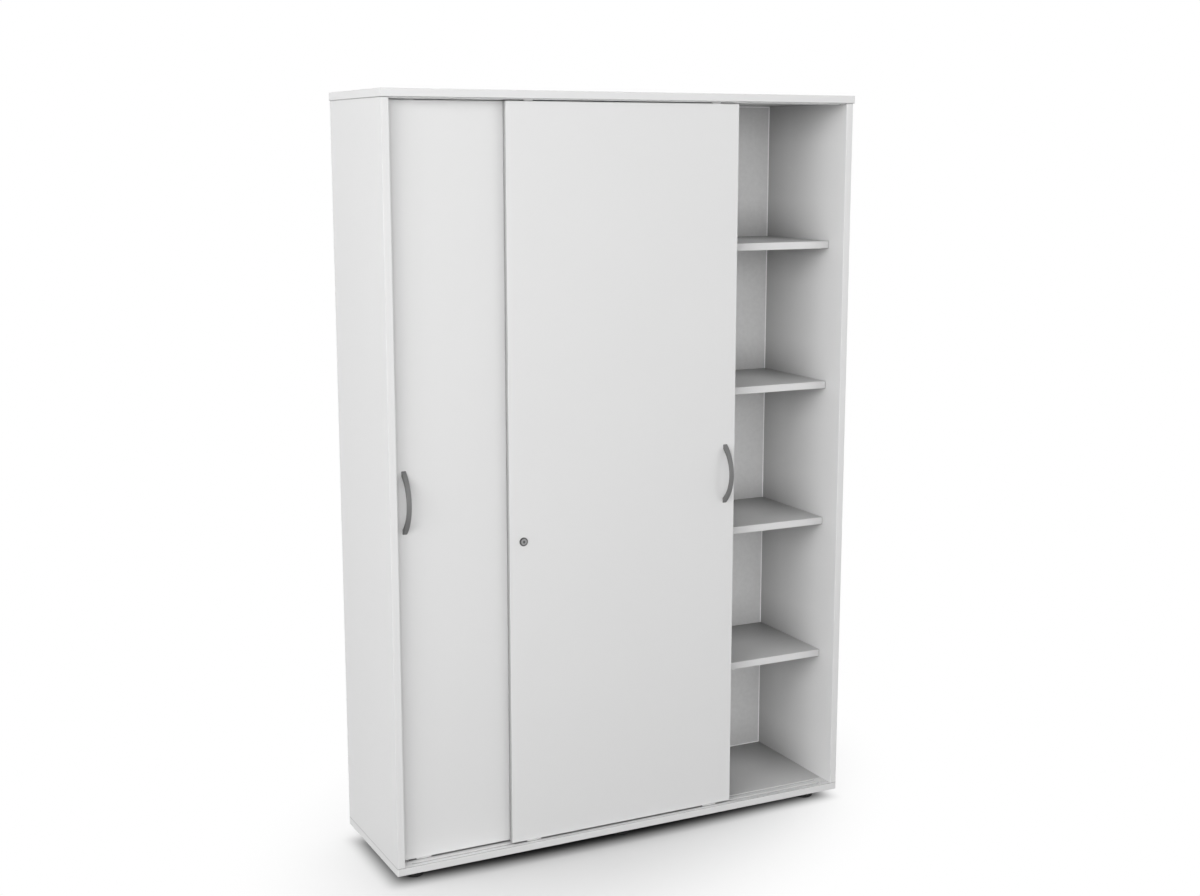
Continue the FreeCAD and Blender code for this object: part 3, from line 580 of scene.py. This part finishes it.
class Part:
    """One new mesh, made of turned shapes, that stands for a CAD node."""

    def __init__(self, name):
        self.name = name
        self.mesh = bmesh.new()

    def rings(self, centre, axis, rows):
        """Joins rows of points. A row is a list of (right, up, along) beside centre."""
        way = Vector(axis).normalized()
        helper = Vector((0.0, 0.0, 1.0)) if abs(way.z) < 0.9 else Vector((1.0, 0.0, 0.0))
        right = helper.cross(way).normalized()
        up = way.cross(right)
        loops = []
        for row in rows:
            loops.append([self.mesh.verts.new(centre + a * right + b * up + c * way)
                          for a, b, c in row])
        for first, second in zip(loops, loops[1:]):
            count = len(first)
            for i in range(count):
                j = (i + 1) % count
                self.mesh.faces.new((first[i], first[j], second[j], second[i]))
        self.mesh.faces.new(reversed(loops[0]))
        self.mesh.faces.new(loops[-1])

    def finish(self, node, looks, smooth=35.0, hide=True):
        """The piece as an object that rides node's body, and replaces it if hide is set."""
        bmesh.ops.recalc_face_normals(self.mesh, faces=self.mesh.faces)
        data = bpy.data.meshes.new(self.name)
        self.mesh.to_mesh(data)
        self.mesh.free()
        data.shade_smooth()
        data.set_sharp_from_angle(angle=radians(smooth))
        piece = add_object(self.name, data)
        data.materials.append(looks[SLOT_OF[node]])
        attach(piece, BODY_OF[node])
        if hide:
            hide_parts(node)
        return piece


def islands(node):
    """(lowest, highest) corner of each separate solid in a node, in a fixed order."""
    data = NODES[node].data
    keys = [tuple(round(part / (0.01 * MM)) for part in vertex.co)
            for vertex in data.vertices]
    leader = {key: key for key in keys}

    def find(key):
        while leader[key] != key:
            leader[key] = leader[leader[key]]
            key = leader[key]
        return key

    for face in data.polygons:
        first = find(keys[face.vertices[0]])
        for index in face.vertices[1:]:
            leader[find(keys[index])] = first
    groups = {}
    for vertex, key in zip(data.vertices, keys):
        groups.setdefault(find(key), []).append(vertex.co)
    boxes = [tuple(Vector(pick(point[i] for point in points) for i in range(3))
                   for pick in (min, max)) for points in groups.values()]
    return sorted(boxes, key=lambda box: tuple(round(part, 4) for part in box[0]))


def circle(radius, along, angles):
    """One point of a circle at each angle."""
    return [(radius * cos(angle), radius * sin(angle), along) for angle in angles]


def cross_outline(reach, half):
    """(angle, radius) of a plus sign's outline: arms of that reach and half width."""
    points = []
    middle = (reach + half) / 2.0
    for quarter in range(4):
        turn = quarter * pi / 2.0
        for x, y in ((reach, -half), (reach, 0.0), (reach, half), (middle, half),
                     (half, half), (half, middle)):
            points.append((atan2(y, x) + turn, hypot(x, y)))
    return points


def screw_rows(head_radius, head_height, shank_radius, length, countersunk):
    """A cross-head screw: its head's top is at 0 and it points along +axis."""
    reach, half = 0.56 * head_radius, 0.15 * head_radius
    deep = min(0.75 * head_height, 0.6 * head_radius)
    outline = cross_outline(reach, half)
    angles = [angle for angle, _ in outline]

    def plus(scale, along):
        return [(scale * r * cos(a), scale * r * sin(a), along) for a, r in outline]

    crown = 0.0 if countersunk else 0.35 * head_height
    rows = [plus(0.55, deep), plus(1.0, 0.02 * head_height)]
    if countersunk:
        rows += [circle(0.94 * head_radius, 0.0, angles),
                 circle(head_radius, 0.08 * head_height, angles),
                 circle(head_radius, 0.2 * head_height, angles),
                 circle(shank_radius, head_height, angles)]
    else:
        rows += [circle(0.72 * head_radius, 0.06 * crown, angles),
                 circle(0.90 * head_radius, 0.4 * crown, angles),
                 circle(head_radius, crown, angles),
                 circle(head_radius, 0.94 * head_height, angles),
                 circle(0.97 * head_radius, head_height, angles),
                 circle(shank_radius, head_height, angles)]
    pitch = 0.5 * shank_radius
    along = head_height + pitch
    while along < length - 2.0 * pitch:
        rows += [circle(shank_radius, along, angles),
                 circle(0.8 * shank_radius, along + pitch / 2.0, angles)]
        along += pitch
    rows += [circle(shank_radius, length - 1.5 * pitch, angles),
             circle(0.6 * shank_radius, length, angles)]
    return rows


# node: (way from the head, head height, shank part of the head's radius, countersunk)
SCREWS = {
    "back_panel_screws": ((0, -1, 0), 1.6 * MM, 0.5, True),
    "front_handle_screws": ((0, -1, 0), 2.6 * MM, 0.5, False),
    "rear_handle_screws": ((0, -1, 0), 2.6 * MM, 0.5, False),
    "keeper_screws": ((0, 1, 0), 1.4 * MM, 0.5, True),
    "lock_cam_screw": ((0, -1, 0), 1.4 * MM, 0.45, False),
}


def make_screws(looks):
    """Cross-head screws with threads, in place of the plain ones."""
    for node, (way, head, shank, countersunk) in SCREWS.items():
        part = Part(node.replace("screw", "cross_screw"))
        for low, high in islands(node):
            centre = (low + high) / 2.0
            centre.y = low.y if way[1] > 0 else high.y
            radius = (high.x - low.x) / 2.0
            part.rings(centre, way, screw_rows(radius, head, shank * radius,
                                               high.y - low.y, countersunk))
        part.finish(node, looks)


def foot_rows(radius, pad, height, stem):
    """A levelling foot: ribbed pad, hexagon collar and threaded stem, upwards from 0."""
    count = 96
    angles = [2.0 * pi * i / count for i in range(count)]

    def ribbed(scale, along):
        return [(scale * radius * (1.0 if i % 4 < 2 else 0.955) * cos(a),
                 scale * radius * (1.0 if i % 4 < 2 else 0.955) * sin(a), along)
                for i, a in enumerate(angles)]

    def hexagon(flat, along):
        return [(flat / cos((a % (pi / 3.0)) - pi / 6.0) * cos(a),
                 flat / cos((a % (pi / 3.0)) - pi / 6.0) * sin(a), along) for a in angles]

    rows = [circle(0.84 * radius, 0.0, angles), circle(0.90 * radius, 0.0004, angles),
            ribbed(0.97, 0.0014), ribbed(1.0, 0.0022), ribbed(1.0, pad - 0.0024),
            ribbed(0.97, pad - 0.0012), circle(0.88 * radius, pad - 0.0003, angles),
            circle(0.80 * radius, pad, angles), circle(0.78 * radius, pad - 0.0006, angles),
            circle(1.5 * stem, pad - 0.0006, angles), hexagon(1.25 * stem, pad - 0.0005),
            hexagon(1.25 * stem, pad + 0.0036), hexagon(1.15 * stem, pad + 0.0042)]
    pitch = 1.5 * MM
    along = pad + 0.0042
    while along < height - 2.0 * pitch:
        rows += [circle(0.84 * stem, along, angles),
                 circle(stem, along + 0.4 * pitch, angles),
                 circle(stem, along + 0.6 * pitch, angles)]
        along += pitch
    rows += [circle(0.84 * stem, along, angles), circle(0.84 * stem, height, angles)]
    return rows


# a levelling foot's pad height and stem radius
FOOT_PAD = 9.0 * MM
FOOT_STEM = 5.0 * MM


def make_feet(looks):
    """Ribbed levelling feet, in place of the plain ones."""
    part = Part("ribbed_levelling_feet")
    for low, high in islands("levelling_feet"):
        centre = (low + high) / 2.0
        centre.z = low.z
        part.rings(centre, (0, 0, 1), foot_rows((high.x - low.x) / 2.0, FOOT_PAD,
                                                high.z - low.z, FOOT_STEM))
    part.finish("levelling_feet", looks)


# (thickness, drop) of the top track's lip and fin, and the cut of their lower edges
LIP = (1.2 * MM, 2.0 * MM)
FIN = (2.0 * MM, 3.2 * MM)
LIP_CUT = 0.3 * MM


def make_track_lips(looks):
    """The top track's front lip and the fin between its lanes, which narrow the gaps."""
    low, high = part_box("top_track")
    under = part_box("top_panel")[0].z
    between = (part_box("front_door_panel")[1].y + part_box("rear_door_panel")[0].y) / 2.0
    for name, front, (thick, drop) in (
            ("top_track_front_lip", low.y, LIP),
            ("top_track_middle_fin", between - FIN[0] / 2.0, FIN)):
        part = Part(name)
        back, tip = front + thick, under - drop
        row = [(front, under), (front, tip + LIP_CUT), (front + LIP_CUT, tip),
               (back - LIP_CUT, tip), (back, tip + LIP_CUT), (back, under)]
        first, last = [[part.mesh.verts.new((x, y, z)) for y, z in row]
                       for x in (low.x, high.x)]
        for i in range(len(row)):
            j = (i + 1) % len(row)
            part.mesh.faces.new((first[i], first[j], last[j], last[i]))
        part.mesh.faces.new(reversed(first))
        part.mesh.faces.new(last)
        piece = part.finish("top_track", looks, hide=False)
        # the lip and fin, with painted shade in the narrow gaps round them
        piece.data.materials[0] = track_look(f"{name}_profile", SLOT_SHADE)


# ---------------------------------------------------------------- floor

FLOOR_HALF = 30.0
FLOOR_WHITE = 0.81
FLOOR_BOUNCE = 0.09
# the painted shadow strip under the object: signed distances from its outline, negative
# inside, where it starts and is full, its tone there, and how far past the sides it reaches
DEEP_SHADE = (-0.006, -0.084)
DEEPEST = 0.05
SIDE_SHADE = 0.040
# the pool of shade, a painted oval: its centre, turn, half sizes, and where it starts and stops
# fading
POOL_PLACE = (0.0, 0.094, 0.0)
POOL_TURN = radians(34.7)
POOL_HALF = (1.253, 0.834)
CLEAR = (0.20, 0.90)
# rounding of the strip's corners
CORNER = 0.05


def painted_floor_shadow(look):
    """Painted shadow: 1 in the open, down to DEEPEST under the object."""
    low, high = cad_box
    gaps = []
    for name, extra in (("X", SIDE_SHADE), ("Y", 0.0)):
        number = "XYZ".index(name)
        along = look.axis(look.place, name)
        middle, half = (low[number] + high[number]) / 2.0, (high[number] - low[number]) / 2.0
        off = look.math("ABSOLUTE", look.math("SUBTRACT", along, middle))
        gaps.append(look.math("SUBTRACT", off, half + extra))
    inside = look.math("SMOOTH_MAX", *gaps, CORNER)
    return look.spread(look.step(inside, *DEEP_SHADE), 1.0, DEEPEST)


def painted_pool_edge(look):
    """0 in the middle of the oval pool of shade, whose outline is painted, 1 outside it."""
    turned = look.add("VectorRotate", {"Vector": look.place, "Center": POOL_PLACE,
                                       "Angle": -POOL_TURN}, rotation_type="Z_AXIS")
    offset = look.add("VectorMath", enumerate((turned, POOL_PLACE)), operation="SUBTRACT")
    scaled = look.add("VectorMath", enumerate((offset, (*POOL_HALF, 1.0))),
                      operation="DIVIDE")
    reach = look.add("VectorMath", {0: scaled}, output="Value", operation="LENGTH")
    return look.step(reach, *CLEAR)


def make_floor():
    """A plain floor with painted shadow under the object, pure white away from it for rays that
    see it.
    """
    data = bpy.data.meshes.new("floor")
    size = FLOOR_HALF
    data.from_pydata([(-size, -size, 0), (size, -size, 0), (size, size, 0), (-size, size, 0)],
                     [], [(0, 1, 2, 3)])
    floor = add_object("floor", data)
    look = Look("floor", roughness=0.9, specular=0.0)
    shade, far, seen = painted_floor_shadow(look), painted_pool_edge(look), look.seen_ray()
    look.paint((1.0, 1.0, 1.0), look.spread(seen, FLOOR_BOUNCE, FLOOR_WHITE), shade,
               look.spread(look.noise(0.02), 0.995, 1.005))
    glow = look.tree.nodes.new("ShaderNodeEmission")
    glow.inputs["Color"].default_value = (1.0, 1.0, 1.0, 1.0)
    mix = look.tree.nodes.new("ShaderNodeMixShader")
    # pure white away from the object, but never in the painted shadow under it
    look.feed(mix.inputs[0], look.math("MULTIPLY", look.math("MULTIPLY", far, seen), shade))
    look.feed(mix.inputs[1], look.shader.outputs[0])
    look.feed(mix.inputs[2], glow.outputs[0])
    look.feed(look.tree.nodes["Material Output"].inputs["Surface"], mix.outputs[0])
    data.materials.append(look.material)


make_camera()
make_world()
make_lamps()
bpy.context.scene.view_settings.view_transform = "Standard"
looks_by_slot = make_looks()
make_screws(looks_by_slot)
make_feet(looks_by_slot)
make_track_lips(looks_by_slot)
make_floor()
